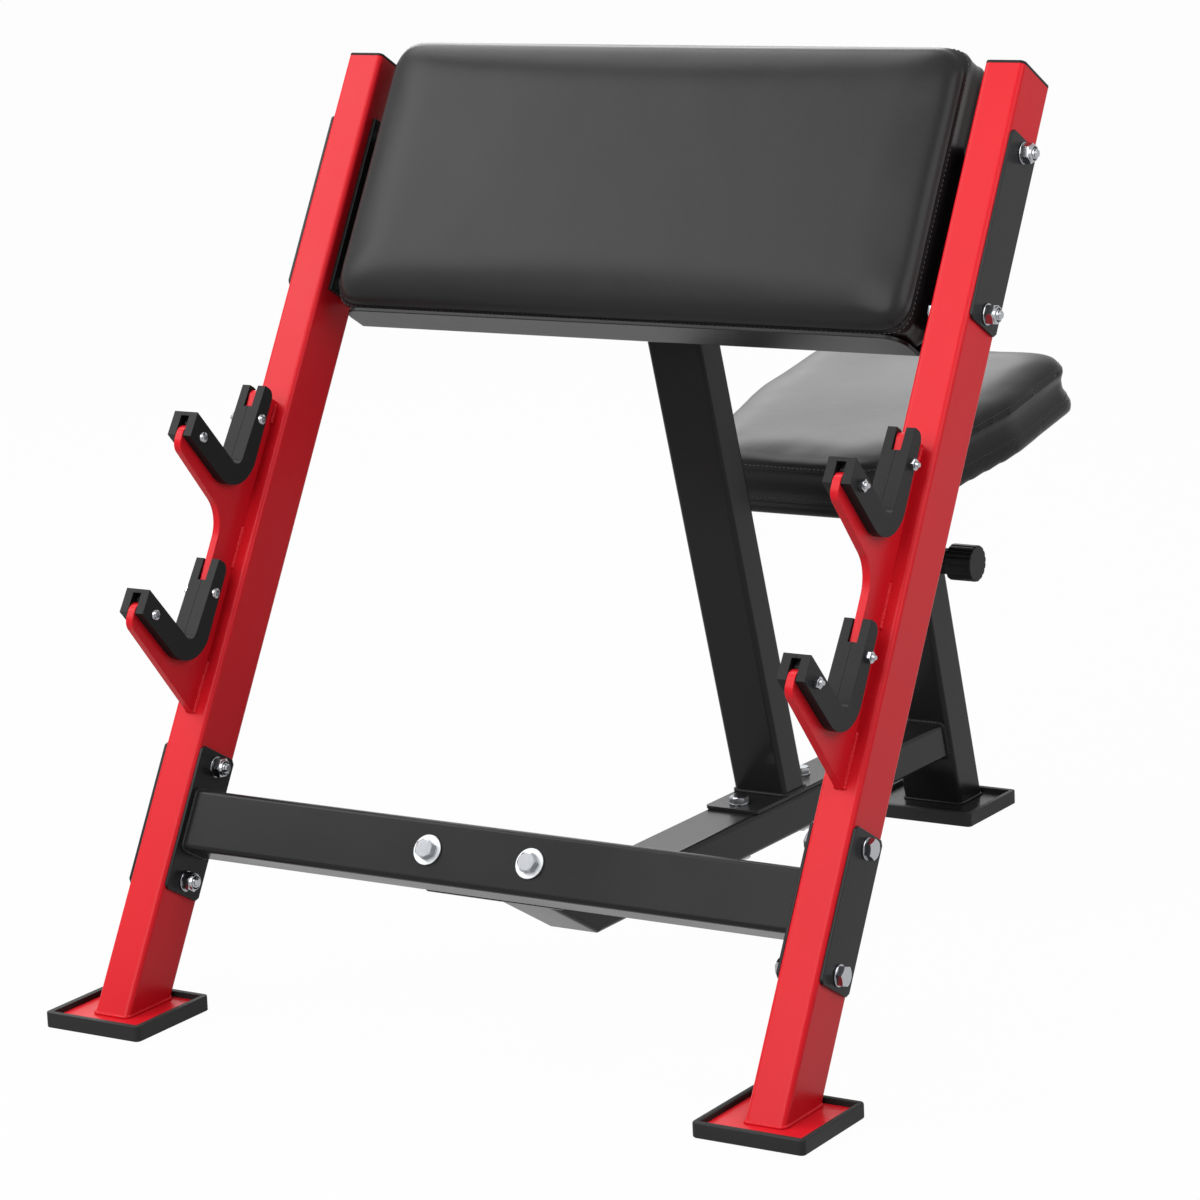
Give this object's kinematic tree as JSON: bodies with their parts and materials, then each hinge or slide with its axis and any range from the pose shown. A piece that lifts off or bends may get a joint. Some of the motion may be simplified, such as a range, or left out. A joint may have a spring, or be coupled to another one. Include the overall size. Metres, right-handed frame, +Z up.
{
  "type": "preacher curl bench",
  "caption": "Preacher curl bench: leaning uprights with lined bar hooks, sloped arm pad, level beam and a padded seat that slides in a rear post under a spring pull pin.",
  "frame": {"origin": "on the floor under the middle of the bench's overall box", "axes": "+Z up, X across the bench, -Y towards the bar hooks, +Y towards the seat"},
  "size_m": [0.821, 1.0953, 0.8833],
  "materials": {
    "red_paint": "gloss",
    "black_paint": "satin",
    "zinc": "bright",
    "vinyl": "satin",
    "rubber": "matte",
    "black_plastic": "matte",
    "plywood": "matte"
  },
  "bodies": {
    "frame": {"arm_pad": "vinyl", "arm_pad_board": "plywood", "arm_pad_screws": "zinc", "base_bolts": "zinc", "base_nuts": "zinc", "base_washers": "zinc", "beam_mount_bolts": "zinc", "beam_mount_plate": "black_paint", "beam_stub": "black_paint", "cradle_backing_left": "black_paint", "cradle_backing_right": "black_paint", "cradle_bolts": "zinc", "cross_backing_left": "black_paint", "cross_backing_right": "black_paint", "cross_bolts": "zinc", "cross_end_plate_left": "black_paint", "cross_end_plate_right": "black_paint", "cross_tube": "black_paint", "foot_plate_left": "red_paint", "foot_plate_rear": "black_paint", "foot_plate_right": "red_paint", "foot_tray_left": "rubber", "foot_tray_rear": "rubber", "foot_tray_right": "rubber", "frame_nuts": "zinc", "frame_washers": "zinc", "liner_lower_left_inner": "black_plastic", "liner_lower_left_outer": "black_plastic", "liner_lower_right_inner": "black_plastic", "liner_lower_right_outer": "black_plastic", "liner_nuts_left": "zinc", "liner_nuts_right": "zinc", "liner_screws_left": "zinc", "liner_screws_right": "zinc", "liner_upper_left_inner": "black_plastic", "liner_upper_left_outer": "black_plastic", "liner_upper_right_inner": "black_plastic", "liner_upper_right_outer": "black_plastic", "main_beam": "black_paint", "mid_post": "black_paint", "mid_post_base": "black_paint", "pad_cradle": "black_paint", "pin_housing": "black_plastic", "rack_plate_left": "red_paint", "rack_plate_right": "red_paint", "rear_post": "black_paint", "seat_bush": "black_plastic", "upright_cap_left": "black_plastic", "upright_cap_right": "black_plastic", "upright_left": "red_paint", "upright_right": "red_paint", "wide_washers": "zinc"},
    "seat": {"seat_post": "black_paint", "seat_plate": "black_paint", "seat_board": "plywood", "seat_pad": "vinyl", "seat_screws": "zinc"},
    "pull_pin": {"pull_pin": "zinc", "pull_knob": "black_plastic"}
  },
  "joints": [
    {"name": "seat_height", "type": "slide", "parent": "frame", "child": "seat", "axis": [0, -0.2672, 0.9636], "range_m": [-0.05, 0.1]},
    {"name": "pin_pull", "type": "slide", "parent": "frame", "child": "pull_pin", "axis": [1, 0, 0], "range_m": [0, 0.012], "stiffness_N_per_m": 900, "springref_m": -0.01}
  ]
}
